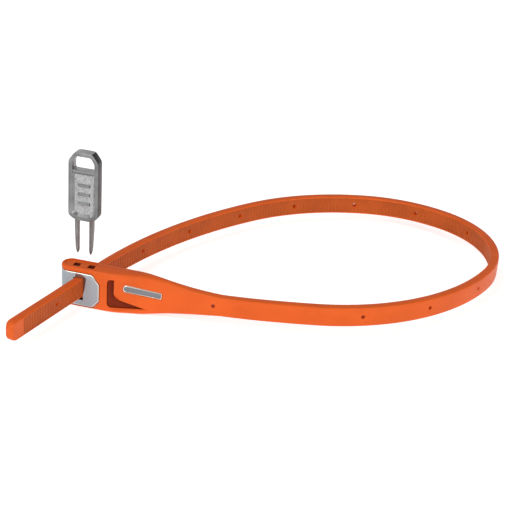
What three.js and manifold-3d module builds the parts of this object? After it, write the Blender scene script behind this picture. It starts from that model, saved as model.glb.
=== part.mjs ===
// A reusable security strap: a steel-cored nylon band moulded in one piece with its lock head, whose
// tail threads through a sprung two-pawl lock, and a loose cast key whose two prongs go down one on
// each side of the band. Millimetres, +Z up. The head's long axis is X, its plated front face looks
// along -Y, and the origin is on the head's underside, below the middle of the band's slot.
import * as THREE from "three";
import { mergeVertices } from "three/addons/utils/BufferGeometryUtils.js";
import Module from "manifold-3d";

const wasm = await Module();
wasm.setup();

// ---------- driving dimensions ----------
const HEAD_HEIGHT = 14.6;
const HEAD_DEPTH = 6.9; // front face to back face at the lock
const HEAD_END_X = -4.5; // centre of the head's half-round end
const BEYOND_END_X = -12; // past the head's end, where cutting shapes start
const HEAD_SHOULDER_X = 11.5; // where the front face starts to sweep back
const NECK_START_X = 26; // where the front face reaches the band's front
const NECK_END_X = 46; // where the head has tapered down to the band
const LIP_TOP = 1.7; // moulding left above the lock
const LIP_BOTTOM = 0.5; // moulding left below the lock

const BAND_WIDTH = 7;
const BAND_THICKNESS = 3;
const BAND_EDGE = 0.7; // chamfer along the band's four edges
const BAND_Y = 2; // the band's centreline as it leaves the head
const BAND_TILT = 12.5; // degrees by which the band crosses the head off square
const TAIL_LENGTH = 41.5; // from the slot's middle to the tip
const TAIL_BLUNT = 2.4; // length over which the tip narrows
const STEP = 3.2; // spacing of the band's sections
// The loop from the neck to the slot, as arcs: [length, turn in degrees].
const LOOP_ARCS = [
  [32, 11],
  [19, 4],
  [74, 59],
  [54, 83],
  [33, 37],
  [48, 37],
  [79, 26.5],
];

const RIB_PITCH = 1.4;
const RIB_DEPTH = 0.35;
const RIB_BAND = 4.8; // width of the ribbed face between its two rails
const RIBBED_RUN = 84; // length of band, back from the tip, that can reach the pawls
const HOLE_PITCH = 25;
const HOLE_COUNT = 15;
const HOLE_RADIUS = 0.7;
const FIRST_HOLE = -17; // distance before the slot's middle, so this one is on the tail
const BADGE_HOLE = 13; // the one place in the row that is left plain

const CORE_THICKNESS = 0.6;
const CORE_HALF = 2; // half width inside the band
const CORE_HEAD_TOP = 4; // the core's upper edge inside the head
const CORE_TONGUE = 4; // its lower edge at the rivets
const CORE_LOW = 2; // and beside the scoop, where it is narrower
const CORE_NECK = 6; // length of neck over which it stays wide
const CORE_PLAY = 0.15; // moulding's clearance round the core

const PLATE = 0.65;
const PLATE_END_X = 6.65;
// The plate's free corners, cut off between a point on its upper or lower edge and one on its end.
const PLATE_TOP_CUT = [4.1, 2.2];
const PLATE_BOTTOM_CUT = [4.4, -3.9];
const SLOT_HALF = 1.8;
const SLOT_TOP = 3.75;
const SLOT_BOTTOM = -4.55;
const FIT = 0.1; // clearance between assembled pieces
const KEYWAY_PLAY = 0.2; // clearance round a prong in the lock body, and a little more in the head

// The thumb scoop and the window, in x and height above the head's middle.
const SCOOP = {
  left: 9.4,
  right: 12.1,
  top: 4.8,
  bottom: -5.5,
  tipX: 22.5,
  tipZ: -5.1,
  corner: 1.5,
  floorY: -1.35,
};
const WINDOW = {
  left: 16.5,
  right: 27.6,
  round: 1.35,
  leftZ: 2.05,
  rightTop: 1.7,
  rightBottom: -0.9,
  floorY: 1.2,
};

const CAVITY_X = 6.2; // half length of the pawl chamber
const CAVITY_Y = 1.95;
const ROOF = 0.95;
const BASE = 0.8;
const BODY_END_X = 9.1;
const RIVET_X = 8;
const RIVET_Z = 2.6;
const RIVET_RADIUS = 0.6;
const RIVET_PLAY = 0.08;

const PAWL_HEIGHT = 9;
const PAWL_BACK = 4.3;
const PAWL_NOTCH = 1;
const PAWL_NOTCH_WALL = 2.45;
const SPRING_RADIUS = 1.2;
const SPRING_WIRE = 0.13;
const SPRING_TURNS = 3;

const PRONG_SPACING = 5.2;
const PRONG_WIDTH = 1.4;
const PRONG_DEPTH = 1.6;
const PRONG_LENGTH = 12.6;
const PRONG_HOVER = 4.2; // prong tips above the head as the key is held ready
const KEY_WIDTH = 10.4;
const KEY_HEIGHT = 24;
const KEY_DEPTH = 3.4;
const KEY_RIM = 1.35;
const KEY_WEB = 1.6;
const KEY_RING = 5; // height of the opening at the top
const KEY_BAR = 0.9; // height of the bar below it
const KEY_BAR_DEPTH = 3;
const GRIP_HALF = 2.2; // half width of each raised grip bar
const GRIP_HEIGHT = 1.2;
const GRIP_PITCH = 3.2;
const GRIP_PROUD = 0.4;

const HALF = HEAD_HEIGHT / 2;
const FACE = HEAD_DEPTH / 2;
const LOCK_TOP = HALF - LIP_TOP;
const LOCK_BOTTOM = LIP_BOTTOM - HALF;
const tilt = THREE.MathUtils.degToRad(BAND_TILT);

// ---------- materials ----------
const nylon = new THREE.MeshStandardMaterial({ color: 0xe8641b, roughness: 0.45, metalness: 0 });
const steel = new THREE.MeshStandardMaterial({ color: 0xb9bec4, roughness: 0.22, metalness: 1 });
const dullSteel = new THREE.MeshStandardMaterial({ color: 0x8d9196, roughness: 0.4, metalness: 1 });
const castZinc = new THREE.MeshStandardMaterial({ color: 0x7c7e81, roughness: 0.45, metalness: 1 });

// ---------- solids ----------
function solid(geometry) {
  const bare = geometry.clone();
  bare.deleteAttribute("normal");
  bare.deleteAttribute("uv");
  const merged = mergeVertices(bare, 1e-4);
  return new wasm.Manifold(
    new wasm.Mesh({
      numProp: 3,
      vertProperties: merged.attributes.position.array,
      triVerts: new Uint32Array(merged.index.array),
    }),
  );
}

function meshOf(name, body, material) {
  const made = body.getMesh();
  const geometry = new THREE.BufferGeometry();
  geometry.setAttribute("position", new THREE.BufferAttribute(made.vertProperties, 3));
  geometry.setIndex(new THREE.BufferAttribute(made.triVerts, 1));
  geometry.computeVertexNormals();
  const mesh = new THREE.Mesh(geometry, material);
  mesh.name = name;
  return mesh;
}

const box = (x0, x1, y0, y1, z0, z1) =>
  solid(
    new THREE.BoxGeometry(x1 - x0, y1 - y0, z1 - z0).translate(
      (x0 + x1) / 2,
      (y0 + y1) / 2,
      (z0 + z1) / 2,
    ),
  );

// An outline in plan, raised from z0 to z1.
function raised(shape, z0, z1, curveSegments = 10) {
  const options = { depth: z1 - z0, bevelEnabled: false, curveSegments };
  return solid(new THREE.ExtrudeGeometry(shape, options).translate(0, 0, z0));
}

// An outline of x and z, carried along Y from y0 to y1.
function carried(shape, y0, y1, curveSegments = 10) {
  const options = { depth: y1 - y0, bevelEnabled: false, curveSegments };
  const geometry = new THREE.ExtrudeGeometry(shape, options);
  return solid(geometry.rotateX(Math.PI / 2).translate(0, y1, 0));
}

const outline = (points) => new THREE.Shape(points.map(([x, y]) => new THREE.Vector2(x, y)));

// A closed skin over a row of rings, each a list of Vector3 in the same order.
function skin(rings) {
  const count = rings[0].length;
  const positions = rings.flat().flatMap((p) => [p.x, p.y, p.z]);
  const faces = [];
  for (let i = 0; i + 1 < rings.length; i++)
    for (let j = 0; j < count; j++) {
      const a = i * count + j;
      const b = i * count + ((j + 1) % count);
      faces.push(a, b, b + count, a, b + count, a + count);
    }
  const cap = THREE.ShapeUtils.triangulateShape(
    rings[0].map((p) => new THREE.Vector2(p.across, p.z)),
    [],
  );
  const last = (rings.length - 1) * count;
  for (const [a, b, c] of cap) {
    faces.push(a, b, c);
    faces.push(last + c, last + b, last + a);
  }
  const geometry = new THREE.BufferGeometry();
  geometry.setAttribute("position", new THREE.Float32BufferAttribute(positions, 3));
  geometry.setIndex(faces);
  const made = solid(geometry);
  if (made.volume() > 0) return made;
  geometry.setIndex(faces.reverse());
  return solid(geometry);
}

// ---------- the band's route ----------
const heading = (degrees) => {
  const a = THREE.MathUtils.degToRad(degrees);
  return new THREE.Vector2(Math.cos(a), Math.sin(a));
};

// Where an arc of this length and turn ends, from the origin and heading 0, after a length s of it.
function alongArc(length, turn, s) {
  const rate = THREE.MathUtils.degToRad(turn) / length;
  if (!rate) return new THREE.Vector2(s, 0);
  return new THREE.Vector2(Math.sin(rate * s) / rate, (1 - Math.cos(rate * s)) / rate);
}

// The loop closes on the slot through two straights, one at each end, whose lengths are solved for.
const crossing = 270 - BAND_TILT;
const reach = new THREE.Vector2(NECK_START_X, BAND_Y);
let turned = 0;
for (const [length, turn] of LOOP_ARCS) {
  reach.add(alongArc(length, turn, length).rotateAround(new THREE.Vector2(), (turned * Math.PI) / 180));
  turned += turn;
}
const inward = heading(crossing);
const lastStraight = -reach.y / inward.y;
const firstStraight = -reach.x - lastStraight * inward.x;
const ROUTE = [[firstStraight, 0], ...LOOP_ARCS, [lastStraight + TAIL_LENGTH, 0]];
const ROUTE_LENGTH = ROUTE.reduce((sum, [length]) => sum + length, 0);
const SLOT_AT = ROUTE_LENGTH - TAIL_LENGTH;

// The band's centreline at a distance s from the neck: its place and its heading in radians.
function onRoute(s) {
  const place = new THREE.Vector2(NECK_START_X, BAND_Y);
  let angle = 0;
  for (const [i, [length, turn]] of ROUTE.entries()) {
    const part = i === ROUTE.length - 1 ? s : Math.min(s, length);
    place.add(alongArc(length, turn, part).rotateAround(new THREE.Vector2(), angle));
    angle += THREE.MathUtils.degToRad((turn * part) / length);
    s -= part;
    if (s <= 0) break;
  }
  return { place, angle };
}

// A section's points, given as [towards the loop's inside, up], set on the route at s.
function ringAt(s, section) {
  const { place, angle } = onRoute(s);
  return section.map(([inside, up]) => {
    const p = new THREE.Vector3(
      place.x - Math.sin(angle) * inside,
      place.y + Math.cos(angle) * inside,
      up,
    );
    p.across = inside;
    return p;
  });
}

function stations(from, to, step) {
  const count = Math.ceil((to - from) / step);
  return Array.from({ length: count + 1 }, (_, i) => from + ((to - from) * i) / count);
}

// The band's section, with the shallow tray that the ribs stand in on its inner face.
function bandSection(width, thickness) {
  const w = width / 2;
  const t = thickness / 2;
  const e = BAND_EDGE;
  const tray = Math.min(RIB_BAND / 2, w - e - 0.1);
  const floor = t - RIB_DEPTH;
  return [
    [-t, w - e],
    [-t + e, w],
    [t - e, w],
    [t, w - e],
    [t, tray],
    [floor, tray],
    [floor, -tray],
    [t, -tray],
    [t, e - w],
    [t - e, -w],
    [-t + e, -w],
    [-t, e - w],
  ];
}

const flatSection = (thickness, above, below = above) => [
  [-thickness / 2, above],
  [thickness / 2, above],
  [thickness / 2, -below],
  [-thickness / 2, -below],
];

function band() {
  const rings = stations(0, ROUTE_LENGTH - TAIL_BLUNT, STEP).map((s) =>
    ringAt(s, bandSection(BAND_WIDTH, BAND_THICKNESS)),
  );
  rings.push(ringAt(ROUTE_LENGTH - TAIL_BLUNT / 3, bandSection(BAND_WIDTH * 0.86, BAND_THICKNESS)));
  rings.push(ringAt(ROUTE_LENGTH, bandSection(BAND_WIDTH * 0.64, BAND_THICKNESS * 0.8)));
  let made = skin(rings);
  const bar = RIB_PITCH / 4;
  const ribs = [];
  const firstRib = Math.ceil(-RIBBED_RUN / RIB_PITCH);
  for (let i = firstRib; SLOT_AT + (i + 0.5) * RIB_PITCH < ROUTE_LENGTH - 6; i++) {
    const middle = SLOT_AT + (i + 0.5) * RIB_PITCH;
    const section = [
      [BAND_THICKNESS / 2 - RIB_DEPTH - 0.1, RIB_BAND / 2 + 0.05],
      [BAND_THICKNESS / 2, RIB_BAND / 2 + 0.05],
      [BAND_THICKNESS / 2, -RIB_BAND / 2 - 0.05],
      [BAND_THICKNESS / 2 - RIB_DEPTH - 0.1, -RIB_BAND / 2 - 0.05],
    ];
    ribs.push(skin([ringAt(middle - bar, section), ringAt(middle + bar, section)]));
  }
  made = wasm.Manifold.union([made, ...ribs]);
  const pins = [];
  for (let i = 0; i < HOLE_COUNT; i++) {
    const s = SLOT_AT - FIRST_HOLE - i * HOLE_PITCH;
    if (i === BADGE_HOLE || s < 4) continue;
    const { place, angle } = onRoute(s);
    const pin = new THREE.CylinderGeometry(HOLE_RADIUS, HOLE_RADIUS, BAND_THICKNESS + 1, 8);
    pins.push(solid(pin.rotateZ(angle).translate(place.x, place.y, 0)));
  }
  return made.subtract(wasm.Manifold.union(pins));
}

// The steel core's route as [x, y, how far it reaches below the middle]: straight out of the lock
// body, forward to lie close under the head's window, then back into the band.
const CORE_HEAD = [
  [7.2, -0.6, CORE_TONGUE],
  [11.2, -0.6, CORE_TONGUE],
  [12.6, -0.6, CORE_LOW],
  [14.9, -1.95, CORE_LOW],
  [27.8, 1, CORE_LOW],
];

function core(thickness, grow, from, endGap) {
  const rings = CORE_HEAD.map(([x, y, low], i) => {
    const [ax, ay] = CORE_HEAD[Math.max(i - 1, 0)];
    const [bx, by] = CORE_HEAD[i + 1] ?? [NECK_START_X + CORE_NECK, BAND_Y];
    const along = new THREE.Vector2(bx - ax, by - ay).normalize();
    const start = i === 0 ? from : x;
    return flatSection(thickness, CORE_HEAD_TOP + grow, low + grow).map(([inside, up]) => {
      const p = new THREE.Vector3(start - along.y * inside, y + along.x * inside, up);
      p.across = inside;
      return p;
    });
  });
  rings.push(ringAt(CORE_NECK, flatSection(thickness, CORE_LOW + grow)));
  for (const s of stations(CORE_NECK + STEP, ROUTE_LENGTH - endGap, STEP))
    rings.push(ringAt(s, flatSection(thickness, CORE_HALF + grow)));
  return skin(rings);
}

function coreStrip() {
  let made = core(CORE_THICKNESS, 0, CORE_HEAD[0][0], TAIL_BLUNT + 1);
  for (const z of Object.values(rivetPlaces))
    made = made.subtract(rivet(z, RIVET_RADIUS + RIVET_PLAY, HEAD_DEPTH));
  return made;
}

// ---------- the head ----------
// The head in plan: half-round at the lock's end, its back straight and its front sweeping back to
// the band.
function headPlan() {
  const shape = new THREE.Shape();
  shape.moveTo(HEAD_END_X, -FACE);
  shape.lineTo(HEAD_SHOULDER_X - 2, -FACE);
  shape.quadraticCurveTo(HEAD_SHOULDER_X + 1, -FACE, HEAD_SHOULDER_X + 4, -FACE + 0.9);
  shape.lineTo(24, -0.4);
  shape.quadraticCurveTo(27.5, 0.4, 32, BAND_Y - BAND_THICKNESS / 2);
  const front = stations(8, NECK_END_X - NECK_START_X, 3).map(
    (s) => ringAt(s, [[-BAND_THICKNESS / 2, 0]])[0],
  );
  const back = stations(4, NECK_END_X - NECK_START_X, 4).map(
    (s) => ringAt(s, [[BAND_THICKNESS / 2, 0]])[0],
  );
  for (const p of front) shape.lineTo(p.x, p.y);
  for (const p of back.reverse()) shape.lineTo(p.x, p.y);
  shape.lineTo(HEAD_END_X, FACE);
  shape.absarc(HEAD_END_X, 0, FACE, Math.PI / 2, (3 * Math.PI) / 2);
  return shape;
}

// The head from the front: full height at the lock, then tapering to the band.
function headSide() {
  const shape = new THREE.Shape();
  const w = BAND_WIDTH / 2;
  shape.moveTo(BEYOND_END_X, -HALF);
  shape.lineTo(19, -HALF);
  shape.bezierCurveTo(26, -HALF, 34, -w - 1, NECK_END_X + 2, -w);
  shape.lineTo(NECK_END_X + 2, w);
  shape.bezierCurveTo(34, w + 1, 26, HALF, 19, HALF);
  shape.lineTo(BEYOND_END_X, HALF);
  return shape;
}

// The plate's front leg from the front, its free corners cut off; grow opens it up all round.
const platePanel = (grow) =>
  outline([
    [BEYOND_END_X, LOCK_BOTTOM + FIT - grow],
    [PLATE_BOTTOM_CUT[0] + grow / 2, LOCK_BOTTOM + FIT - grow],
    [PLATE_END_X + grow, PLATE_BOTTOM_CUT[1] - grow / 2],
    [PLATE_END_X + grow, PLATE_TOP_CUT[1] + grow / 2],
    [PLATE_TOP_CUT[0] + grow / 2, LOCK_TOP - FIT + grow],
    [BEYOND_END_X, LOCK_TOP - FIT + grow],
  ]);

// A D-ended outline round the lock, from the head's round end to endX.
function lockPlan(radius, endX) {
  const shape = new THREE.Shape();
  shape.moveTo(HEAD_END_X, -radius);
  shape.lineTo(endX, -radius);
  shape.lineTo(endX, radius);
  shape.lineTo(HEAD_END_X, radius);
  shape.absarc(HEAD_END_X, 0, radius, Math.PI / 2, (3 * Math.PI) / 2);
  return shape;
}

// The space that the band needs through the lock, along its own slanted line.
const passage = solid(
  new THREE.BoxGeometry(2 * SLOT_HALF, 4 * FACE, SLOT_TOP - SLOT_BOTTOM)
    .translate(0, 0, (SLOT_TOP + SLOT_BOTTOM) / 2)
    .rotateZ(-tilt),
);

const keyway = (side, grow) =>
  box(
    (side * PRONG_SPACING) / 2 - PRONG_WIDTH / 2 - grow,
    (side * PRONG_SPACING) / 2 + PRONG_WIDTH / 2 + grow,
    -PRONG_DEPTH / 2 - grow,
    PRONG_DEPTH / 2 + grow,
    0,
    HALF + 1,
  );

// The thumb scoop's groove: an upright leg beside the lock, and a second one that narrows to a point
// along the head's lower edge.
function scoopGroove() {
  const { left, right, top, bottom, tipX, tipZ, corner } = SCOOP;
  const leg = new THREE.Shape();
  leg.moveTo(left, top - corner);
  leg.lineTo(left, bottom + corner);
  leg.quadraticCurveTo(left, bottom, left + corner, bottom);
  leg.lineTo(tipX, tipZ);
  leg.lineTo(right + 1.7, -2.5);
  leg.quadraticCurveTo(right, -2.1, right, -0.9);
  leg.lineTo(right, top);
  leg.lineTo(left + corner, top);
  leg.quadraticCurveTo(left, top, left, top - corner);
  return carried(leg, -FACE - 1, SCOOP.floorY, 5);
}

function windowCut() {
  const { left, right, round, leftZ, rightTop, rightBottom, floorY } = WINDOW;
  const shape = new THREE.Shape();
  shape.moveTo(left, leftZ - round);
  shape.lineTo(right, rightBottom);
  shape.lineTo(right, rightTop);
  shape.lineTo(left, leftZ + round);
  shape.absarc(left, leftZ, round, Math.PI / 2, (3 * Math.PI) / 2);
  return carried(shape, -FACE - 1, floorY, 5);
}

function strapMoulding() {
  const head = raised(headPlan(), -HALF, HALF, 8).intersect(carried(headSide(), -FACE - 1, 8, 8));
  const lockPocket = carried(platePanel(FIT), -FACE - 1, FACE + 1);
  const chamber = raised(lockPlan(FACE - PLATE, BODY_END_X + FIT), LOCK_BOTTOM, LOCK_TOP);
  const channel = core(
    CORE_THICKNESS + 2 * CORE_PLAY,
    CORE_PLAY,
    BODY_END_X - 0.2,
    TAIL_BLUNT + 0.6,
  );
  const headOnly = head
    .subtract(lockPocket)
    .subtract(chamber)
    .subtract(keyway(-1, KEYWAY_PLAY + 0.05))
    .subtract(keyway(1, KEYWAY_PLAY + 0.05));
  return headOnly
    .add(band())
    .subtract(channel)
    .subtract(scoopGroove())
    .subtract(windowCut());
}

// ---------- the lock ----------
const rivetPlaces = { core_rivet_upper: RIVET_Z, core_rivet_lower: -RIVET_Z };

function rivet(z, radius, length) {
  const shank = new THREE.CylinderGeometry(radius, radius, length, 12);
  return solid(shank.translate(RIVET_X, 0, z));
}

function lockBody() {
  const outer = raised(lockPlan(FACE - PLATE - FIT, BODY_END_X), LOCK_BOTTOM + FIT, LOCK_TOP - FIT);
  const room = box(-CAVITY_X, CAVITY_X, -CAVITY_Y, CAVITY_Y, LOCK_BOTTOM, LOCK_TOP - FIT - ROOF);
  const tongueSlot = box(
    7,
    BODY_END_X + 1,
    -0.6 - CORE_THICKNESS / 2 - CORE_PLAY,
    -0.6 + CORE_THICKNESS / 2 + CORE_PLAY,
    -CORE_TONGUE - CORE_PLAY,
    CORE_HEAD_TOP + CORE_PLAY,
  );
  let made = outer.subtract(room).subtract(passage).subtract(tongueSlot);
  for (const side of [-1, 1]) made = made.subtract(keyway(side, KEYWAY_PLAY));
  for (const z of Object.values(rivetPlaces))
    made = made.subtract(rivet(z, RIVET_RADIUS + RIVET_PLAY, HEAD_DEPTH));
  return made;
}

function bodyBase() {
  const x = CAVITY_X - FIT;
  const y = CAVITY_Y - FIT;
  return box(-x, x, -y, y, LOCK_BOTTOM + FIT, LOCK_BOTTOM + FIT + BASE);
}

function facePlate() {
  const outer = lockPlan(FACE, PLATE_END_X);
  const inner = lockPlan(FACE - PLATE, PLATE_END_X + 1);
  return raised(outer, -HALF, HALF, 14)
    .subtract(raised(inner, -HALF - 1, HALF + 1, 14))
    .intersect(carried(platePanel(0), -FACE - 1, FACE + 1))
    .subtract(passage);
}

// A pawl in plan on the +X side: a block with a notch that a prong wedges open, and on each arm a
// tooth that stands into a groove between the band's ribs, or, untoothed, a plain gripping face.
function pawl(toothed) {
  const y = CAVITY_Y - FIT;
  const faceAt = (v, gap) => v * Math.tan(tilt) + (BAND_THICKNESS / 2 + gap) / Math.cos(tilt);
  const arm = (v0, v1) => {
    const middle = (v0 + v1) / 2;
    if (!toothed) return [[faceAt(v0, 0.12), v0], [faceAt(v1, 0.12), v1]];
    return [[faceAt(v0, 0.35), v0], [faceAt(middle, 0.1), middle], [faceAt(v1, 0.35), v1]];
  };
  const shape = outline([
    ...arm(-y, -PAWL_NOTCH),
    [PAWL_NOTCH_WALL, -PAWL_NOTCH],
    [PAWL_NOTCH_WALL, PAWL_NOTCH],
    ...arm(PAWL_NOTCH, y),
    [PAWL_BACK, y],
    [PAWL_BACK, -y],
  ]);
  return raised(shape, -PAWL_HEIGHT / 2, PAWL_HEIGHT / 2 - 0.1);
}

class Coil extends THREE.Curve {
  getPoint(t) {
    const room = CAVITY_X - PAWL_BACK - 2 * SPRING_WIRE - 2 * FIT;
    const angle = 2 * Math.PI * SPRING_TURNS * t;
    return new THREE.Vector3(
      PAWL_BACK + FIT + SPRING_WIRE + room * t,
      SPRING_RADIUS * Math.cos(angle),
      SPRING_RADIUS * Math.sin(angle),
    );
  }
}

function pawlSpring() {
  const wire = new THREE.Shape().absarc(0, 0, SPRING_WIRE, 0, 2 * Math.PI);
  const options = { steps: 14 * SPRING_TURNS, extrudePath: new Coil(), curveSegments: 3 };
  return solid(new THREE.ExtrudeGeometry(wire, options));
}

// ---------- the key ----------
// A panel with its four corners cut off by [across, up] amounts, centred on x.
const cutPanel = (half, bottom, top, low, high) =>
  outline([
    [-half + low[0], bottom],
    [half - low[0], bottom],
    [half, bottom + low[1]],
    [half, top - high[1]],
    [half - high[0], top],
    [-half + high[0], top],
    [-half, top - high[1]],
    [-half, bottom + low[1]],
  ]);

// One prong: parallel for the wedge's length, its outer face leaning in towards a point.
function prong(side, shoulder) {
  const inner = (side * (PRONG_SPACING - PRONG_WIDTH)) / 2;
  const at = (width) => inner + side * width;
  const tip = shoulder - PRONG_LENGTH;
  const shape = outline([
    [at(0), shoulder + 0.5],
    [at(0), tip + 1.6],
    [at(0.3), tip],
    [at(0.5), tip],
    [at(0.85), tip + 1.6],
    [at(PRONG_WIDTH), tip + 9.4],
    [at(PRONG_WIDTH), shoulder + 0.5],
  ]);
  return carried(shape, -PRONG_DEPTH / 2, PRONG_DEPTH / 2);
}

function key() {
  const bottom = HALF + PRONG_HOVER + PRONG_LENGTH;
  const top = bottom + KEY_HEIGHT;
  const half = KEY_WIDTH / 2;
  const d = KEY_DEPTH / 2;
  const inside = half - KEY_RIM;
  const ringTop = top - KEY_RIM;
  const barTop = ringTop - KEY_RING;
  const trayTop = barTop - KEY_BAR;
  const trayBottom = bottom + KEY_RIM;
  let made = carried(cutPanel(half, bottom, top, [2.9, 1.6], [2.7, 3.4]), -d, d);
  const ring = cutPanel(inside, barTop, ringTop, [0.2, 0.2], [1.7, 2.6]);
  made = made.subtract(carried(ring, -d - 1, d + 1));
  const tray = cutPanel(inside, trayBottom, trayTop, [1.8, 1], [0.2, 0.2]);
  made = made.subtract(carried(tray, -d - 1, -KEY_WEB / 2));
  made = made.subtract(carried(tray, KEY_WEB / 2, d + 1));
  const bar = KEY_BAR_DEPTH / 2;
  made = made.subtract(box(-inside, inside, -d - 1, -bar, trayTop - 0.1, barTop + 0.1));
  made = made.subtract(box(-inside, inside, bar, d + 1, trayTop - 0.1, barTop + 0.1));
  const proud = KEY_WEB / 2 + GRIP_PROUD;
  for (const i of [-1, 0, 1]) {
    const z = (trayBottom + trayTop) / 2 + GRIP_PITCH * i;
    const grip = box(-GRIP_HALF, GRIP_HALF, -proud, proud, z - GRIP_HEIGHT / 2, z + GRIP_HEIGHT / 2);
    made = made.add(grip);
  }
  return made.add(prong(-1, bottom)).add(prong(1, bottom));
}

// ---------- the assembly ----------
const strapLock = new THREE.Group();
strapLock.name = "strap_lock";

const head = new THREE.Group();
head.position.z = HALF;
strapLock.add(head);

head.add(meshOf("strap_moulding", strapMoulding(), nylon));
head.add(meshOf("strap_core", coreStrip(), steel));
head.add(meshOf("face_plate", facePlate(), steel));
head.add(meshOf("lock_body", lockBody(), dullSteel));
head.add(meshOf("body_base", bodyBase(), dullSteel));
for (const [name, z] of Object.entries(rivetPlaces))
  head.add(meshOf(name, rivet(z, RIVET_RADIUS, 2 * (FACE - PLATE - FIT)), dullSteel));

const rightSide = new THREE.Group();
rightSide.add(meshOf("ratchet_pawl", pawl(true), dullSteel));
rightSide.add(meshOf("ratchet_spring", pawlSpring(), steel));
const leftSide = new THREE.Group();
leftSide.rotation.z = Math.PI;
leftSide.add(meshOf("pressure_pawl", pawl(false), dullSteel));
leftSide.add(meshOf("pressure_spring", pawlSpring(), steel));
head.add(rightSide, leftSide);

const keyGroup = new THREE.Group();
keyGroup.add(meshOf("key", key(), castZinc));
head.add(keyGroup);

export default strapLock;
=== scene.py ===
from math import ceil, cos, pi, radians, sin, sqrt

import bmesh
import bpy
import numpy as np
from mathutils import Matrix, Quaternion, Vector


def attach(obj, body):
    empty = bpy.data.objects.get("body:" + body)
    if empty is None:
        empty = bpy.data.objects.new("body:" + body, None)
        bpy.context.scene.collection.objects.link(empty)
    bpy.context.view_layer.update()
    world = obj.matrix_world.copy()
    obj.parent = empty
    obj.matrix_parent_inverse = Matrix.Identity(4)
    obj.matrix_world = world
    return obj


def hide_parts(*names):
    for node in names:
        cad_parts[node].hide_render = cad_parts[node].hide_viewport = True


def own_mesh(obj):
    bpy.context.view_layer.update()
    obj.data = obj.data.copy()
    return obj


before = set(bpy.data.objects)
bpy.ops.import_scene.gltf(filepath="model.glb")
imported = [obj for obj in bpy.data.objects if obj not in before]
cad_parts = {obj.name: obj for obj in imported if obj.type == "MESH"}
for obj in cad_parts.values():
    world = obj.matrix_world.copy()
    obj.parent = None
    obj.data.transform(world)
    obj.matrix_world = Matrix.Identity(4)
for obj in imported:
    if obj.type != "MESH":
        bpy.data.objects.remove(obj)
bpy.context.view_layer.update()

# ---------- The studio: camera, floor and lights ----------
# A reusable strap lock laid on a pale studio floor, seen a little from above and from the right,
# with its key held ready over the head. Sizes are in millimetres unless a name says metres.
MM = 0.001
EYE = Vector((151.47, -371.07, 215.83)) * MM
TARGET = Vector((47.83, 44.60, 7.30)) * MM
CAMERA_ROLL = radians(4.17)
camera = bpy.data.objects.new("camera", bpy.data.cameras.new("camera"))
bpy.context.scene.collection.objects.link(camera)
camera.data.lens = 93.06
camera.data.sensor_width = 36
camera.data.clip_start = 0.01
camera.location = EYE
camera.rotation_mode = "QUATERNION"
level = (TARGET - EYE).to_track_quat("-Z", "Y")
camera.rotation_quaternion = level @ Quaternion((0, 0, 1), CAMERA_ROLL)
bpy.context.scene.camera = camera
bpy.context.scene.view_settings.view_transform = "Standard"


def placed(name, points, faces):
    """A piece from its points, given in millimetres, and its faces."""
    mesh = bpy.data.meshes.new(name)
    mesh.from_pydata([Vector(p) * MM for p in points], [], faces)
    made = bpy.data.objects.new(name, mesh)
    bpy.context.scene.collection.objects.link(made)
    return made


def finish(name, tones, roughness, drift=60, grain=2500, height=0.00001, metallic=0.0, stretch=(1, 1, 1)):
    """A finish whose colour and roughness drift between two values, over a fine raised grain."""
    material = bpy.data.materials.new(name)
    material.use_nodes = True
    nodes, links = material.node_tree.nodes, material.node_tree.links
    shader = nodes["Principled BSDF"]
    shader.inputs["Metallic"].default_value = metallic
    place = nodes.new("ShaderNodeTexCoord")
    stretched = nodes.new("ShaderNodeMapping")
    stretched.inputs["Scale"].default_value = stretch
    links.new(place.outputs["Object"], stretched.inputs["Vector"])

    def noise(scale, detail):
        made = nodes.new("ShaderNodeTexNoise")
        made.inputs["Scale"].default_value = scale
        made.inputs["Detail"].default_value = detail
        links.new(stretched.outputs["Vector"], made.inputs["Vector"])
        return made

    clouds = noise(drift, 4)
    blend = nodes.new("ShaderNodeValToRGB")
    for stop, position, tone in zip(blend.color_ramp.elements, (0.35, 0.65), tones):
        stop.position = position
        stop.color = (*tone, 1)
    links.new(clouds.outputs["Fac"], blend.inputs["Fac"])
    links.new(blend.outputs["Color"], shader.inputs["Base Color"])
    smears = noise(drift * 6, 3)
    span = nodes.new("ShaderNodeMapRange")
    span.inputs["From Min"].default_value = 0.3
    span.inputs["From Max"].default_value = 0.7
    span.inputs["To Min"].default_value = roughness[0]
    span.inputs["To Max"].default_value = roughness[1]
    links.new(smears.outputs["Fac"], span.inputs["Value"])
    links.new(span.outputs["Result"], shader.inputs["Roughness"])
    pores = noise(grain, 2)
    bump = nodes.new("ShaderNodeBump")
    bump.inputs["Distance"].default_value = height
    bump.inputs["Strength"].default_value = 1.0
    links.new(pores.outputs["Fac"], bump.inputs["Height"])
    links.new(bump.outputs["Normal"], shader.inputs["Normal"])
    return material


def coated(piece, *materials):
    """Gives a piece its finishes; each face keeps the number of its own."""
    numbers = [polygon.material_index for polygon in piece.data.polygons]
    piece.data.materials.clear()
    for material in materials:
        piece.data.materials.append(material)
    piece.data.polygons.foreach_set("material_index", numbers)


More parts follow.
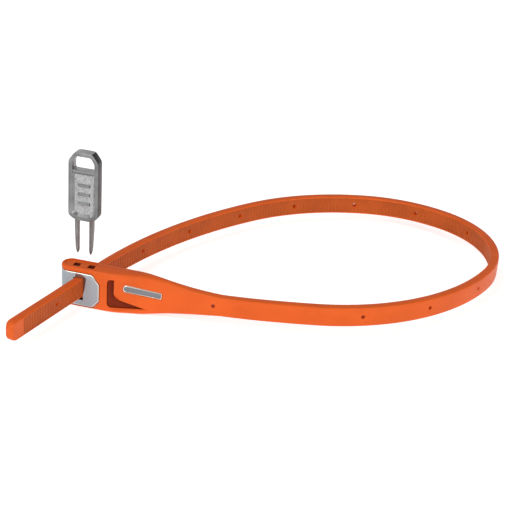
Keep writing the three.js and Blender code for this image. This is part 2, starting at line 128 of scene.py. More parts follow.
FLOOR_REACH = 3000
FLOOR_GLOW = 0.5  # the sweep is lit from behind as well, so the floor stays pale
floor = placed(
    "floor",
    [(x * FLOOR_REACH, y * FLOOR_REACH, -0.05) for x, y in ((-1, -1), (1, -1), (1, 1), (-1, 1))],
    [(0, 1, 2, 3)],
)
sweep = finish("pale_floor", ((0.88, 0.88, 0.88), (0.90, 0.90, 0.90)), (0.75, 0.85), drift=3)
sweep.node_tree.nodes["Principled BSDF"].inputs["Emission Color"].default_value = (1, 1, 1, 1)
sweep.node_tree.nodes["Principled BSDF"].inputs["Emission Strength"].default_value = FLOOR_GLOW
sweep.node_tree.nodes["Principled BSDF"].inputs["Specular IOR Level"].default_value = 0.1
coated(floor, sweep)

world = bpy.data.worlds.new("studio")
bpy.context.scene.world = world
world.use_nodes = True
world.node_tree.nodes["Background"].inputs["Color"].default_value = (1, 1, 1, 1)
world.node_tree.nodes["Background"].inputs["Strength"].default_value = 0.42


def softbox(name, place, aim, side, power):
    """A square area light, its place and aim in metres."""
    light = bpy.data.lights.new(name, "AREA")
    light.size = side
    light.energy = power
    lamp = bpy.data.objects.new(name, light)
    lamp.location = place
    lamp.rotation_mode = "QUATERNION"
    lamp.rotation_quaternion = (Vector(aim) - Vector(place)).to_track_quat("-Z", "Y")
    bpy.context.scene.collection.objects.link(lamp)


softbox("front_light", (-0.15, -1.0, 0.35), (0.04, 0.03, 0.01), 0.6, 3.2)
softbox("right_light", (0.95, -0.6, 0.55), (0.04, 0.03, 0.01), 0.6, 4.5)
softbox("top_light", (-0.4, -0.45, 1.1), (0.04, 0.03, 0), 0.9, 5)

# ---------- The moulding: head, neck, band and tail ----------
# One injection moulding in tough orange nylon over the steel core. The head is a tall block with a
# half-round end, its front sweeps back into a flat band, and the band's inner face carries a tray
# of small cross ribs that the ratchet holds. Its tail runs on through the slot.
HALF = 7.3  # half the head's height, and the height of the band's middle
FACE = 3.45
HEAD_END_X = -4.5
NECK_START_X = 26
BAND_Y = 2
BAND_WIDTH = 7
BAND_THICKNESS = 3
BAND_EDGE = 0.5
HEAD_EDGE = 0.75
NECK_EDGE = 1.2
TAIL_LENGTH = 41.5
TAIL_BLUNT = 3.2
TIP_ROUND = 1.3
BAND_TILT = radians(12.5)
LOOP_ARCS = [(32, 11), (19, 4), (74, 59), (54, 83), (33, 37), (48, 37), (79, 26.5)]
RIB_PITCH = 1.4
RIB_DEPTH = 0.24
RIB_HALF = 0.35
RIB_SLOPE = 0.24
TRAY_HALF = 2.6
TRAY_WALL = 0.14
LEAST_RAIL = 0.02  # what is left of the flat rail where the band narrows
RIBS_FROM = 12
RIBS_END_GAP = 6.4
RIB_CROWN = 0.03  # how far a rib's top lies below the rails
ROUND_STEPS = 5  # faces round a rounded edge
END_STEPS = 18  # sections round the head's half-round end
TRAY_END = ((0.75, RIB_DEPTH), (1.0, 0.0), (1.8, 0.0))  # past the last rib, and the depth there
TAIL_STEPS = 16
TAIL_CORNER = 2.4
TIP_THINNING = 0.8
# The second and third finishes are darker oranges that are painted shade: one on the ribbed tray, one in
# the deep recesses.
SMOOTH, RIBBED_PAINTED_SHADE, DEEP_PAINTED_SHADE = range(3)  # the numbers of the moulding's finishes
TRAY_FACES = range(13, 18)  # the faces round a section that make the tray and its rails


def bend(points, count=16):
    """Points along a Bezier curve."""
    found = []
    for i in range(count + 1):
        left = [Vector(p) for p in points]
        while len(left) > 1:
            left = [a.lerp(b, i / count) for a, b in zip(left, left[1:])]
        found.append(left[0])
    return found


FRONT_LINE = (
    [Vector((-20, -FACE))]
    + bend([(9.5, -FACE), (12.5, -FACE), (15.5, -2.55)])
    + bend([(24, -0.4), (27.5, 0.4), (32, BAND_Y - BAND_THICKNESS / 2)])
)
SIDE_LINE = [Vector((-20, HALF))] + bend([(19, HALF), (26, HALF), (34, 4.5), (48, BAND_WIDTH / 2)], 32)


def front_y(x):
    return float(np.interp(x, [p.x for p in FRONT_LINE], [p.y for p in FRONT_LINE]))


def half_height(x):
    return float(np.interp(x, [p.x for p in SIDE_LINE], [p.y for p in SIDE_LINE]))


def turned(vector, angle):
    return Matrix.Rotation(angle, 2) @ Vector(vector)


def along_arc(length, turn, s):
    """Where an arc of this length and turn has got to after s of it, from the origin along X."""
    rate = radians(turn) / length
    if not rate:
        return Vector((s, 0))
    return Vector((sin(rate * s) / rate, (1 - cos(rate * s)) / rate))


# The loop closes on the slot through two straights, whose lengths follow from the arcs.
reach = Vector((NECK_START_X, BAND_Y))
heading = 0
for length, turn in LOOP_ARCS:
    reach += turned(along_arc(length, turn, length), radians(heading))
    heading += turn
inward = turned((1, 0), radians(heading))
last_straight = -reach.y / inward.y
first_straight = -reach.x - last_straight * inward.x
ROUTE = [(first_straight, 0), *LOOP_ARCS, (last_straight + TAIL_LENGTH, 0)]
ROUTE_LENGTH = sum(length for length, _ in ROUTE)
SLOT_AT = ROUTE_LENGTH - TAIL_LENGTH


def on_route(s):
    """The middle of the band at a distance s from the neck, and the way that it heads."""
    place, angle = Vector((NECK_START_X, BAND_Y)), 0.0
    if s <= 0:
        return place + Vector((s, 0)), angle
    for length, turn in ROUTE:
        part = min(s, length)
        place += turned(along_arc(length, turn, part), angle)
        angle += radians(turn) * part / length
        s -= part
        if s <= 0:
            break
    return place, angle


def section(front, back, half, edge, depth):
    """A round-edged section as (towards the loop's inside, up), with the tray sunk by depth."""
    tray = min(TRAY_HALF, half - edge - TRAY_WALL - LEAST_RAIL)
    upper = [(-front, tray), (-front, tray + TRAY_WALL)]
    for i in range(ROUND_STEPS + 1):
        a = pi / 2 * i / ROUND_STEPS
        upper.append((-front + edge * (1 - cos(a)), half - edge * (1 - sin(a))))
    for i in range(ROUND_STEPS, -1, -1):
        a = pi / 2 * i / ROUND_STEPS
        upper.append((back - edge * (1 - cos(a)), half - edge * (1 - sin(a))))
    upper += [(back, tray + TRAY_WALL), (back - depth, tray)]
    return upper + [(n, -z) for n, z in reversed(upper)]


def ring_at(s, points):
    place, angle = on_route(s)
    return [
        (place.x - sin(angle) * n, place.y + cos(angle) * n, HALF + z)
        for n, z in points
    ]


def head_section(x, depth=0.0):
    back = float(np.interp(x, (NECK_START_X, 32), (FACE - BAND_Y, BAND_THICKNESS / 2)))
    front = float(max(BAND_Y - front_y(x), BAND_THICKNESS / 2))
    edge = float(np.interp(x, (8, 16, 30, 44), (HEAD_EDGE, NECK_EDGE, NECK_EDGE, BAND_EDGE)))
    return section(front, back, half_height(x), edge, depth)


# The half-round end: the section folds about the end's upright axis until its two sides meet.
rings = []
for i in range(END_STEPS + 1):
    a = pi / 2 * i / END_STEPS
    rings.append([
        (HEAD_END_X - abs(n + BAND_Y) * cos(a), (n + BAND_Y) * sin(a), HALF + z)
        for n, z in head_section(HEAD_END_X)
    ])
for x in np.linspace(HEAD_END_X + 0.6, NECK_START_X + RIBS_FROM, 70):
    rings.append(ring_at(x - NECK_START_X, head_section(x)))

band_back = BAND_THICKNESS / 2
ribs_begin = len(rings)
s = SLOT_AT + (ceil((RIBS_FROM + 1 - SLOT_AT) / RIB_PITCH) + 0.5) * RIB_PITCH
while s < ROUTE_LENGTH - RIBS_END_GAP:
    for step, depth in (
        (-RIB_HALF - RIB_SLOPE / 2, RIB_DEPTH),
        (-RIB_HALF + RIB_SLOPE / 2, RIB_CROWN),
        (RIB_HALF - RIB_SLOPE / 2, RIB_CROWN),
        (RIB_HALF + RIB_SLOPE / 2, RIB_DEPTH),
    ):
        rings.append(ring_at(s + step, head_section(NECK_START_X + s + step, depth)))
    s += RIB_PITCH
s -= RIB_PITCH
ribs_end = len(rings)
for step, depth in TRAY_END:
    rings.append(ring_at(s + step, section(band_back, band_back, BAND_WIDTH / 2, BAND_EDGE, depth)))
for i in range(TAIL_STEPS + 1):
    u = sin(pi / 2 * i / TAIL_STEPS)
    half = BAND_WIDTH / 2 - TAIL_CORNER * (1 - sqrt(1 - u * u))
    w = max(0, 1 - TAIL_BLUNT * (1 - u) / TIP_ROUND)
    thick = band_back * (1 - TIP_THINNING * (1 - sqrt(1 - w * w)))
    edge = min(thick, float(np.interp(w, (0, 0.5), (BAND_EDGE, band_back))))
    rings.append(ring_at(
        ROUTE_LENGTH - TAIL_BLUNT * (1 - u),
        section(thick, thick, half, edge * 0.95, 0.0),
    ))


SAME_PLACE = 0.0005  # points nearer each other than this are one


def skinned(name, rings, start_cap=True, end_cap=True, finish_at=None):
    """A closed skin over a row of rings. finish_at gives the finish number at a ring and a place."""
    count = len(rings[0])
    faces = []
    finishes = []
    for i in range(len(rings) - 1):
        for j in range(count):
            a, b = i * count + j, i * count + (j + 1) % count
            faces.append((a, b, b + count, a + count))
            finishes.append(finish_at(i, j) if finish_at else 0)
    last = (len(rings) - 1) * count
    if start_cap:
        faces.append(tuple(reversed(range(count))))
    if end_cap:
        faces.append(tuple(range(last, last + count)))
    made = placed(name, [p for ring in rings for p in ring], faces)
    for polygon, number in zip(made.data.polygons, finishes):
        polygon.material_index = number
    shape = bmesh.new()
    shape.from_mesh(made.data)
    bmesh.ops.remove_doubles(shape, verts=shape.verts, dist=SAME_PLACE * MM)
    bmesh.ops.recalc_face_normals(shape, faces=shape.faces)
    shape.to_mesh(made.data)
    shape.free()
    return made


strap = skinned(
    "strap_moulding_nylon",
    rings,
    start_cap=False,
    finish_at=lambda i, j: RIBBED_PAINTED_SHADE if ribs_begin <= i < ribs_end and j in TRAY_FACES else SMOOTH,
)
orange = finish(
    "orange_nylon",
    ((0.60, 0.086, 0.006), (0.68, 0.102, 0.009)),
    (0.38, 0.48),
    drift=70,
    grain=2600,
    height=0.000012,
)
# A darker orange for the ribbed tray on the band's inside: painted shade, standing in for the shade that
# falls there.
ribbed_orange_painted_shade = finish(
    "orange_nylon_ribbed_painted_shade",
    ((0.38, 0.066, 0.005), (0.47, 0.082, 0.008)),
    (0.42, 0.52),
    drift=90,
    grain=2600,
    height=0.000014,
)
# A near-black orange for the deep half of the scoop's groove and the key holes' walls: painted shade in
# the recesses.
recess_painted_shade_orange = finish(
    "orange_nylon_recess_painted_shade",
    ((0.15, 0.013, 0.0), (0.20, 0.018, 0.0)),
    (0.65, 0.75),
    drift=90,
    grain=2600,
    height=0.000014,
)
for material in (orange, ribbed_orange_painted_shade, recess_painted_shade_orange):
    shader = material.node_tree.nodes["Principled BSDF"]
    shader.inputs["Specular IOR Level"].default_value = 0.2
    shader.inputs["Subsurface Weight"].default_value = 0.1
    shader.inputs["Subsurface Radius"].default_value = (1.0, 0.25, 0.08)
    shader.inputs["Subsurface Scale"].default_value = 0.0005
coated(strap, orange, ribbed_orange_painted_shade, recess_painted_shade_orange)

# The mould's slides leave the lock's pocket open at the head's end, two square holes for the key in
# a shallow tray on the head's top, and on its front a thumb scoop with a window for the core.


def settled(piece, crease=35):
    """The piece with its modifiers made part of its mesh, smooth but for its sharp edges."""
    graph = bpy.context.evaluated_depsgraph_get()
    mesh = bpy.data.meshes.new_from_object(piece.evaluated_get(graph))
    piece.modifiers.clear()
    piece.data = mesh
    mesh.shade_smooth()
    mesh.set_sharp_from_angle(angle=radians(crease))
    return piece


def worked(piece, operation, *tools):
    """Cuts the tools from the piece, or joins or keeps their common part, and throws them away."""
    for tool in tools:
        change = piece.modifiers.new("work", "BOOLEAN")
        change.operation = operation
        change.object = tool
        change.solver = "MANIFOLD"
    settled(piece)
    for tool in tools:
        bpy.data.objects.remove(tool)
    return piece


def grown(points, by):
    """An outline, given anticlockwise, moved out all round."""
    found = []
    count = len(points)
    for i, p in enumerate(points):
        before = (Vector(p) - Vector(points[i - 1])).normalized()
        after = (Vector(points[(i + 1) % count]) - Vector(p)).normalized()
        out = Vector((before.y + after.y, -before.x - after.x))
        found.append(Vector(p) + out * by / max(1 + before.dot(after), 0.4))
    return found


def carried(name, points, y0, y1):
    """An outline of x and height above the head's middle, carried from y0 to y1."""
    return skinned(name, [[(x, y, HALF + z) for x, z in points] for y in (y0, y1)])


def raised(name, points, z0, z1):
    """An outline in plan, raised from z0 to z1, heights above the head's middle."""
    return skinned(name, [[(x, y, HALF + z) for x, y in points] for z in (z0, z1)])


OVERSHOOT = 1.5  # how far a recess's tool stands out of the face


def sunk(name, points, surface, depth, lip, number=SMOOTH):
    """A tool for a recess with a rounded mouth, whose deep half gets the numbered finish.
    surface(p, d) is the place at a depth d below the face, and depth(p) the recess's own."""
    layers = [[surface(p, -OVERSHOOT) for p in grown(points, lip)]]
    for i in range(ROUND_STEPS + 1):
        a = pi / 2 * i / ROUND_STEPS
        layers.append([surface(p, lip * (1 - cos(a))) for p in grown(points, lip * (1 - sin(a)))])
    layers.append([surface(p, depth(p) * 0.5) for p in points])
    layers.append([surface(p, depth(p)) for p in points])
    tool = skinned(name, layers, finish_at=lambda i, j: number if i == len(layers) - 2 else SMOOTH)
    tool.data.polygons[-1].material_index = number
    coated(tool, None, None, None)  # empty places, for the moulding's own finishes
    return tool


def plate_panel(grow):
    """The front plate's outline, its free corners cut off."""
    return [
        (-12, -6.7 - grow),
        (4.4 + grow / 2, -6.7 - grow),
        (6.65 + grow, -3.9 - grow / 2),
        (6.65 + grow, 2.2 + grow / 2),
        (4.1 + grow / 2, 5.5 + grow),
        (-12, 5.5 + grow),
    ]


def lock_plan(radius, end_x, middle_y=0.0, count=32):
    """A D-ended outline round the lock."""
    return [(end_x, middle_y - radius), (end_x, middle_y + radius)] + [
        (
            HEAD_END_X + radius * cos(pi / 2 + pi * i / count),
            middle_y + radius * sin(pi / 2 + pi * i / count),
        )
        for i in range(count + 1)
    ]


PANEL_DROP = 0.3  # how far the scoop's panel lies below the face beside the groove
PANEL_X = 11.8
PANEL_RUN = 10


def panel_drop(x):
    return PANEL_DROP * (1 - (x - PANEL_X) / PANEL_RUN)


def on_face(p, depth):
    return (p[0], front_y(p[0]) + depth, HALF + p[1])


def on_panel(p, depth):
    return (p[0], front_y(p[0]) + max(0, panel_drop(p[0])) + depth, HALF + p[1])


def on_top(p, depth):
    return (p[0], p[1], 2 * HALF - depth)


KEY_HOLE_X = 2.6
KEY_HOLE_HALF = 1.15
KEY_HOLE_FLOOR = 5
TOP_TRAY_DEPTH = 0.5
BAND_PLAY = 0.06  # left between the band and the moulding where it goes through the lock
pocket = carried("lock_pocket", plate_panel(0.3), -FACE - 1, FACE + 1)
worked(pocket, "UNION", raised("chamber", lock_plan(FACE - 0.65, 9.2), -6.8, 5.6))
passing = section(
    band_back + BAND_PLAY, band_back + BAND_PLAY, BAND_WIDTH / 2 + BAND_PLAY, BAND_EDGE, 0.0
)
passing_rings = [ring_at(SLOT_AT + step, passing) for step in (-8, 8)]
worked(pocket, "DIFFERENCE", skinned("passing", passing_rings))
tools = [
    pocket,
    sunk("top_tray", lock_plan(2.6, 4.1, 0.45), on_top, lambda p: TOP_TRAY_DEPTH, 0.2),
]
for side in (-1, 1):
    x = side * KEY_HOLE_X
    hole = [
        (x + across * KEY_HOLE_HALF, along * KEY_HOLE_HALF)
        for across, along in ((-1, -1), (1, -1), (1, 1), (-1, 1))
    ]
    key_hole = raised("key_hole", hole, KEY_HOLE_FLOOR, HALF + 1)
    coated(key_hole, None, None, None)
    # The holes' walls take the dark recess orange, which is painted shade.
    for polygon in key_hole.data.polygons:
        polygon.material_index = DEEP_PAINTED_SHADE
    tools.append(key_hole)
SCOOP_LEFT = 9.5
SCOOP_FOOT = -5.5
SCOOP_LEAST = 1.0
SCOOP_DEEPER = 1.3
scoop = (
    bend([(SCOOP_LEFT, 3.3), (SCOOP_LEFT, 4.8), (11.0, 4.8)], 6)[::-1]
    + bend([(SCOOP_LEFT, -4.0), (SCOOP_LEFT, SCOOP_FOOT), (11.0, SCOOP_FOOT)], 6)
    + [Vector((22.5, -5.15))]
    + bend([(14.6, -2.7), (11.8, -1.7), (11.8, 0.1)], 6)
    + [Vector((11.8, 4.8))]
)


def scoop_depth(p):
    """Shallow along its left and lower sides, and deep under the panel's edge."""
    way_in = min(1, (p[0] - SCOOP_LEFT) / 2.3, (p[1] - SCOOP_FOOT) / 2.5)
    return SCOOP_LEAST + SCOOP_DEEPER * max(0, way_in)


# The groove's deep half takes the dark recess orange, which is painted shade.
tools.append(sunk("scoop_groove", scoop, on_face, scoop_depth, 0.7, DEEP_PAINTED_SHADE))
panel = [(11.6, 4.8), (11.6, -0.2), (14.6, -2.8), (22.5, -5.2), (24.5, 4.2)]
tools.append(skinned("scoop_panel", [
    [(x, -FACE - 2, HALF + z) for x, z in panel],
    [(x, front_y(x) + panel_drop(x), HALF + z) for x, z in panel],
]))
WINDOW_ROUND = (16.1, 2.07, 1.35)  # the middle and radius of the window's round end
WINDOW_DEPTH = 1.3
x, z, radius = WINDOW_ROUND
window = [(x, z - radius), (27.3, -0.87), (27.75, -0.75), (27.9, -0.3), (27.9, 1.2), (27.75, 1.6)]
window += [(27.3, 1.72)]
window += [
    (x + radius * cos(a), z + radius * sin(a)) for a in np.linspace(pi / 2, 3 * pi / 2, 13)[:-1]
]
tools.append(sunk("window", window, on_panel, lambda p: WINDOW_DEPTH, 0.4))

# Pins hold the core in the middle of the mould at an even pitch. Each leaves a small round hole
# with a flared mouth, right through the band. One place on the front run is left plain.
HOLE_PITCH = 25
HOLE_COUNT = 15
FIRST_HOLE = -17
PLAIN_PLACE = 13
PIN_SIDES = 16
PIN_MOUTH = ((-2.2, 0.95), (-1.5, 0.85), (-1.3, 0.65), (1.0, 0.65), (1.3, 0.85), (2.2, 0.95))


def pin(name, place, angle, profile):
    """A round tool across the band, from its distance to the inside and its radius there."""
    layers = []
    for inside, radius in profile:
        middle = place + turned((0, inside), angle)
        layers.append([
            (
                middle.x + cos(angle) * radius * cos(a),
                middle.y + sin(angle) * radius * cos(a),
                HALF + radius * sin(a),
            )
            for a in np.linspace(0, 2 * pi, PIN_SIDES + 1)[:-1]
        ])
    return skinned(name, layers)


pin_places = []
for i in range(HOLE_COUNT):
    s = SLOT_AT - FIRST_HOLE - i * HOLE_PITCH
    if i == PLAIN_PLACE:
        continue
    pin_places.append(on_route(s))
    tools.append(pin("pin_hole", *pin_places[-1], PIN_MOUTH))
worked(strap, "DIFFERENCE", *tools)
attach(strap, "strap")
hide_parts("strap_moulding")

# ---------- The steel core ----------
# A flat strip of spring steel that the moulding is made over, pierced at every pin hole. In the
# head it is wider, riveted to the lock body, and lies close behind the head's window.
CORE = 0.3  # half its thickness
CORE_HALF = 2
CORE_HEAD = [(7.2, -0.6, 4), (11.2, -0.6, 4), (12.6, -0.6, 2), (14.9, -1.95, 2), (27.8, 1.0, 2)]
CORE_NECK = 6
CORE_SECTIONS = 160
PIERCED_RADIUS = 0.78
RIVET_X = 8
RIVET_Z = 2.6
RIVET_HOLE_RADIUS = 0.68


def strip(above, below):
    return [(-CORE, above), (CORE, above), (CORE, -below), (-CORE, -below)]


core_line = [Vector((x, y)) for x, y, _ in CORE_HEAD] + [Vector((NECK_START_X + CORE_NECK, BAND_Y))]
core_rings = []
for i, (x, y, low) in enumerate(CORE_HEAD):
    along = (core_line[i + 1] - core_line[max(i - 1, 0)]).normalized()
    core_rings.append([(x - along.y * n, y + along.x * n, HALF + z) for n, z in strip(4, low)])
core_rings.append(ring_at(CORE_NECK, strip(CORE_HALF, CORE_HALF)))
for s in np.linspace(CORE_NECK + 3, ROUTE_LENGTH - TAIL_BLUNT - 0.5, CORE_SECTIONS):
    core_rings.append(ring_at(s, strip(CORE_HALF, CORE_HALF)))
core = skinned("core_strip", core_rings)
straight = ((-1, PIERCED_RADIUS), (1, PIERCED_RADIUS))
tools = [pin("pierced", *where, straight) for where in pin_places]
for z in (-RIVET_Z, RIVET_Z):
    circle = [
        (RIVET_X + RIVET_HOLE_RADIUS * cos(a), z + RIVET_HOLE_RADIUS * sin(a))
        for a in np.linspace(0, 2 * pi, PIN_SIDES + 1)[:-1]
    ]
    tools.append(carried("rivet_hole", circle, -2, 1))
worked(core, "DIFFERENCE", *tools)
bright_strip = finish(
    "ground_strip_steel",
    ((0.30, 0.32, 0.35), (0.42, 0.44, 0.47)),
    (0.12, 0.28),
    drift=400,
    grain=4000,
    height=0.000002,
    metallic=1.0,
    stretch=(0.15, 1, 1),
)
coated(core, bright_strip)
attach(core, "strap")
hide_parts("strap_core")

# ---------- The window's bar ----------
# The core's bright face shows through the head's window as a polished bar with a bevelled edge,
# standing almost flush with the panel round it.
BAR_FRONT = ((14.75, 0.12), (27.9, 0.22))  # depth below the panel at its two ends
bar_line = [(x, on_panel((x, 0), depth)[1]) for x, depth in BAR_FRONT]


def on_bar(p, depth):
    y = float(np.interp(p[0], [x for x, _ in bar_line], [y for _, y in bar_line]))
    return (p[0], y + depth, HALF + p[1])


# Each outline's depth below the bar's front, and how far it draws in from the window's edge.
BAR_OUTLINES = ((1.0, 0.0), (0.2, 0.0), (-0.03, 0.24), (0.0, 0.34), (0.05, 0.4))
window_bar = skinned("window_bar", [
    [on_bar(p, depth) for p in grown(window, -narrow)] for depth, narrow in BAR_OUTLINES
])
settled(window_bar, 20)
# A pale cream steel for bevelled edges: a painted highlight along the window bar's rim and the plate's
# bevel.
painted_highlight_steel = finish(
    "steel_edge_painted_highlight",
    ((0.74, 0.69, 0.60), (0.86, 0.81, 0.72)),
    (0.15, 0.25),
    drift=300,
    grain=4000,
    height=0.000002,
    metallic=1.0,
)
bar_face = finish(
    "window_bar_steel",
    ((0.155, 0.165, 0.18), (0.20, 0.21, 0.225)),
    (0.10, 0.20),
    drift=300,
    grain=4000,
    height=0.000003,
    metallic=1.0,
    stretch=(0.15, 1, 1),
)
# The bar's bevelled rim takes the pale steel, a painted highlight.
coated(window_bar, bar_face, painted_highlight_steel)
for polygon in window_bar.data.polygons:
    polygon.material_index = int(len(polygon.vertices) == 4)
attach(window_bar, "strap")

# ---------- The face plate ----------
# A polished stainless plate bent round the head's end, with cut corners, a small bevel all round
# and the slot that the band goes through. It guards the pawls against picking.
PLATE = 0.65
PLATE_END_X = 6.65
SLOT_HALF = 1.72
SLOT_TOP = 3.68
SLOT_BOTTOM = -4.55
PLATE_BEVEL = 0.26


def bevelled(piece, width, angle=40, segments=3, finish_number=-1):
    """Breaks the piece's sharp edges, with a finish of their own, and keeps its flat faces flat."""
    edge = piece.modifiers.new("edges", "BEVEL")
    edge.width = width * MM
    edge.segments = segments
    edge.limit_method = "ANGLE"
    edge.angle_limit = radians(angle)
    edge.material = finish_number
    flat = piece.modifiers.new("flats", "WEIGHTED_NORMAL")
    flat.keep_sharp = True
    return settled(piece, 50)


plate = raised("face_plate_polished", lock_plan(FACE, PLATE_END_X, count=48), -HALF, HALF)
SLOT_REACH = 9  # past the plate on both sides
passage = [
    turned((across * SLOT_HALF, along * SLOT_REACH), -BAND_TILT)
    for across, along in ((-1, -1), (1, -1), (1, 1), (-1, 1))
]
inside = raised("inside", lock_plan(FACE - PLATE, PLATE_END_X + 1, count=48), -HALF - 1, HALF + 1)
worked(plate, "DIFFERENCE", inside)
worked(plate, "INTERSECT", carried("panel", plate_panel(0), -FACE - 1, FACE + 1))
coated(plate, None, None)
# The plate's bevel takes the pale steel, a painted highlight along its rim.
bevelled(plate, PLATE_BEVEL, finish_number=1)
worked(plate, "DIFFERENCE", raised("passage", passage, SLOT_BOTTOM, SLOT_TOP))
polished = finish(
    "polished_plate",
    ((0.29, 0.32, 0.345), (0.33, 0.355, 0.38)),
    (0.05, 0.11),
    drift=150,
    grain=3000,
    height=0.000002,
    metallic=1.0,
    stretch=(1, 1, 0.2),
)
coated(plate, polished, painted_highlight_steel)
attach(plate, "strap")
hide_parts("face_plate")

# ---------- The lock body, its base and the two rivets ----------
# A machined steel body behind the plate, closed below by a pressed base, with the core's tongue
# held in it by two headless rivets.
machined = finish(
    "machined_steel",
    ((0.25, 0.255, 0.26), (0.36, 0.365, 0.37)),
    (0.30, 0.45),
    drift=300,
    grain=5000,
    height=0.000004,
    metallic=1.0,
    stretch=(1, 1, 0.1),
)
for name in ("lock_body", "body_base", "core_rivet_upper", "core_rivet_lower"):
    coated(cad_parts[name], machined)

# ---------- The pawls and their springs ----------
# Two hardened steel blocks, one toothed and one plain, each pushed at the band by a short coil
# spring. The key's prongs wedge them apart.
hardened = finish(
    "hardened_steel",
    ((0.14, 0.145, 0.16), (0.24, 0.245, 0.26)),
    (0.28, 0.42),
    drift=350,
    grain=6000,
    height=0.000003,
    metallic=1.0,
)
spring_wire = finish(
    "spring_wire",
    ((0.50, 0.50, 0.50), (0.62, 0.62, 0.61)),
    (0.18, 0.30),
    drift=900,
    grain=8000,
    height=0.000001,
    metallic=1.0,
)
SPRING_RADIUS = 1.2
WIRE_RADIUS = 0.13
SPRING_TURNS = 3.5
SPRING_INNER_X = 4.54
SPRING_OUTER_X = 6.06
SPRING_SECTIONS = 140
for side, word in ((1, "ratchet"), (-1, "pressure")):
    coated(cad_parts[word + "_pawl"], hardened)
    rings = []
    for i in range(SPRING_SECTIONS + 1):
        t = i / SPRING_SECTIONS
        a = 2 * pi * SPRING_TURNS * t
        x = SPRING_INNER_X + (SPRING_OUTER_X - SPRING_INNER_X) * float(np.clip((t - 0.15) / 0.7, 0, 1))
        rings.append([
            (
                side * (x + WIRE_RADIUS * cos(b)),
                side * (SPRING_RADIUS + WIRE_RADIUS * sin(b)) * cos(a),
                HALF + (SPRING_RADIUS + WIRE_RADIUS * sin(b)) * sin(a),
            )
            for b in np.linspace(0, 2 * pi, 9)[:-1]
        ])
    coil = settled(skinned(word + "_spring_coil", rings), 60)
    coated(coil, spring_wire)
    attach(coil, "strap")
    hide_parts(word + "_spring")
    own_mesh(coil)

# ---------- The key ----------
# A small key cast in zinc: a bow with an open ring above a sunk grip panel, and two tapered
# prongs. The sunk panel is left as cast, and its rim and prongs are tumbled smooth.
KEY_BOTTOM = 24.1  # heights above the head's middle
KEY_TOP = 48.1
KEY_HALF = 5.2
KEY_DEPTH = 1.7
KEY_RIM = 1.35
KEY_WEB = 0.8
BAR_TOP = 41.75
BAR_HEIGHT = 0.9
BAR_DEPTH = 1.5
PRONG_X = 1.85
PRONG_WIDTH = 1.46
PRONG_TIP = 11.5
PRONG_LAYERS = ((-0.8, 0.2), (-0.6, 0.0), (0.6, 0.0), (0.8, 0.2))  # depth, and how much it narrows
GRIP_PITCH = 3.2
GRIP_LENGTH = 4.4
GRIP_HEIGHT = 1.2
GRIP_LAYERS = ((-1.2, 0.2), (-0.8, 0.0), (0.8, 0.0), (1.2, 0.2))
KEY_BEVEL = 0.18
STRAIGHT = 0.9  # a face whose normal leans this much along an axis faces that way
# Of these, 2 is painted shade on the flanks and 3 a painted highlight on the bevels and upward faces,
# chosen by the way each face points.
AS_CAST, FLANK_PAINTED_SHADE, PAINTED_HIGHLIGHT = 1, 2, 3  # the numbers of its finishes, where 0 is the tumbled one


def cut_panel(half, bottom, top, low, high):
    """A panel's outline with its corners cut off by (across, up)."""
    return [
        (-half + low[0], bottom),
        (half - low[0], bottom),
        (half, bottom + low[1]),
        (half, top - high[1]),
        (half - high[0], top),
        (-half + high[0], top),
        (-half, top - high[1]),
        (-half, bottom + low[1]),
    ]


def softened(points, cut, count=4):
    """An outline with each corner rounded off from cut away on either side."""
    found = []
    for i, p in enumerate(points):
        before, here, after = Vector(points[i - 1]), Vector(p), Vector(points[(i + 1) % len(points)])
        start = here + (before - here).normalized() * min(cut, (before - here).length * 0.45)
        end = here + (after - here).normalized() * min(cut, (after - here).length * 0.45)
        found += bend([start, here, end], count)
    return found


bow = softened(cut_panel(KEY_HALF, KEY_BOTTOM, KEY_TOP, (2.4, 1.5), (2.2, 3.0)), 1.0)
key = carried("cast_key_body", bow, -KEY_DEPTH, KEY_DEPTH)
inside = KEY_HALF - KEY_RIM
ring = softened(cut_panel(inside, BAR_TOP, KEY_TOP - KEY_RIM, (0.3, 0.3), (1.3, 2.0)), 0.6)
tray = softened(
    cut_panel(inside, KEY_BOTTOM + KEY_RIM + 0.2, BAR_TOP - BAR_HEIGHT, (1.8, 1.0), (0.3, 0.3)), 0.8
)
tools = [carried("ring_hole", ring, -KEY_DEPTH - 1, KEY_DEPTH + 1)]
for side in (-1, 1):
    tools.append(skinned("tray", [
        [(x, side * (KEY_DEPTH + 0.5), HALF + z) for x, z in grown(tray, 0.6)],
        [(x, side * KEY_WEB, HALF + z) for x, z in grown(tray, -0.55)],
    ]))
    shelf = [
        (-inside + 0.05, BAR_TOP - BAR_HEIGHT - 0.2),
        (inside - 0.05, BAR_TOP - BAR_HEIGHT - 0.2),
        (inside - 0.05, BAR_TOP + 0.2),
        (-inside + 0.05, BAR_TOP + 0.2),
    ]
    tools.append(carried("shelf", shelf, side * BAR_DEPTH, side * (KEY_DEPTH + 1)))
worked(key, "DIFFERENCE", *tools)
cast_on = []
for side in (-1, 1):
    outline = [(0, KEY_BOTTOM + 0.6), (0, PRONG_TIP + 1.3), (0.15, PRONG_TIP + 0.35), (0.35, PRONG_TIP)]
    outline += [(0.62, PRONG_TIP), (0.85, PRONG_TIP + 0.5), (1.05, PRONG_TIP + 2.2)]
    outline += [(PRONG_WIDTH, PRONG_TIP + 9.4), (PRONG_WIDTH, KEY_BOTTOM + 0.6)]
    layers = []
    for depth, narrow in PRONG_LAYERS:
        layer = []
        for across, z in outline:
            lean = min(1, (z - PRONG_TIP) / 3 + 0.4)
            middle = 0.5 if z < PRONG_TIP + 1 else PRONG_WIDTH / 2
            layer.append((
                side * (PRONG_X + middle + (across - middle) * (1 - narrow)),
                depth * lean,
                HALF + z,
            ))
        layers.append(layer)
    cast_on.append(skinned("prong", layers))
tray_middle = (KEY_BOTTOM + KEY_RIM + BAR_TOP - BAR_HEIGHT) / 2
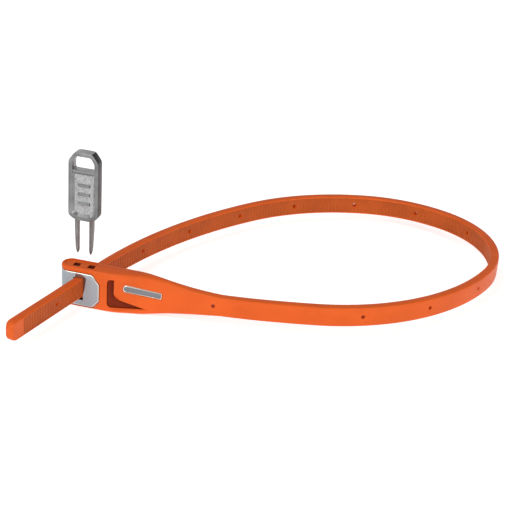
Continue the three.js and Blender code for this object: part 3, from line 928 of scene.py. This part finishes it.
for i in (-1, 0, 1):
    z = tray_middle + GRIP_PITCH * i
    grip = softened([
        (across * GRIP_LENGTH / 2, z + up * GRIP_HEIGHT / 2)
        for across, up in ((-1, -1), (1, -1), (1, 1), (-1, 1))
    ], 0.55)
    cast_on.append(skinned("grip", [
        [(x, depth, HALF + h) for x, h in grown(grip, -narrow)] for depth, narrow in GRIP_LAYERS
    ]))
worked(key, "UNION", *cast_on)
coated(key, None, None, None, None)
# The key's bevels take the pale zinc, a painted highlight.
bevelled(key, KEY_BEVEL, angle=35, segments=2, finish_number=PAINTED_HIGHLIGHT)
tumbled = finish(
    "tumbled_zinc",
    ((0.16, 0.16, 0.162), (0.25, 0.25, 0.252)),
    (0.28, 0.40),
    drift=220,
    grain=1800,
    height=0.000012,
    metallic=1.0,
)
as_cast = finish(
    "as_cast_zinc",
    ((0.30, 0.30, 0.302), (0.46, 0.46, 0.462)),
    (0.45, 0.60),
    drift=1500,
    grain=2600,
    height=0.00006,
    metallic=1.0,
)
# A near-black zinc for the key's outward-leaning flanks: painted shade on the sides that face away.
flank_painted_shade = finish(
    "zinc_flank_painted_shade",
    ((0.055, 0.055, 0.056), (0.10, 0.10, 0.102)),
    (0.35, 0.48),
    drift=260,
    grain=1800,
    height=0.000014,
    metallic=1.0,
)
# A pale zinc for the bevels, upward faces and the tray walls that face one way: a painted highlight.
zinc_painted_highlight = finish(
    "zinc_painted_highlight",
    ((0.55, 0.55, 0.555), (0.80, 0.80, 0.805)),
    (0.25, 0.35),
    drift=260,
    grain=1800,
    height=0.000008,
    metallic=1.0,
)
coated(key, tumbled, as_cast, flank_painted_shade, zinc_painted_highlight)
for polygon in key.data.polygons:
    x, y, z = polygon.center / MM
    outward = polygon.normal.x * x + polygon.normal.z * (z - HALF - tray_middle)
    wall = abs(x) < inside + 0.4 and abs(y) > KEY_WEB + 0.02 and abs(polygon.normal.y) < STRAIGHT
    if z < KEY_BOTTOM + HALF or polygon.material_index == PAINTED_HIGHLIGHT:
        continue
    if abs(abs(y) - KEY_WEB) < 0.02 and abs(polygon.normal.y) > STRAIGHT:
        polygon.material_index = AS_CAST
    # Faces leaning outward are darkened with painted shade.
    elif outward > 0 and max(abs(polygon.normal.y), abs(polygon.normal.z)) < 0.85:
        polygon.material_index = FLANK_PAINTED_SHADE
    # Upward faces and the tray walls facing one way are lightened with a painted highlight.
    elif (wall and polygon.normal.x < -0.3) or polygon.normal.z > STRAIGHT:
        polygon.material_index = PAINTED_HIGHLIGHT
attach(key, "key")
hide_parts("key")
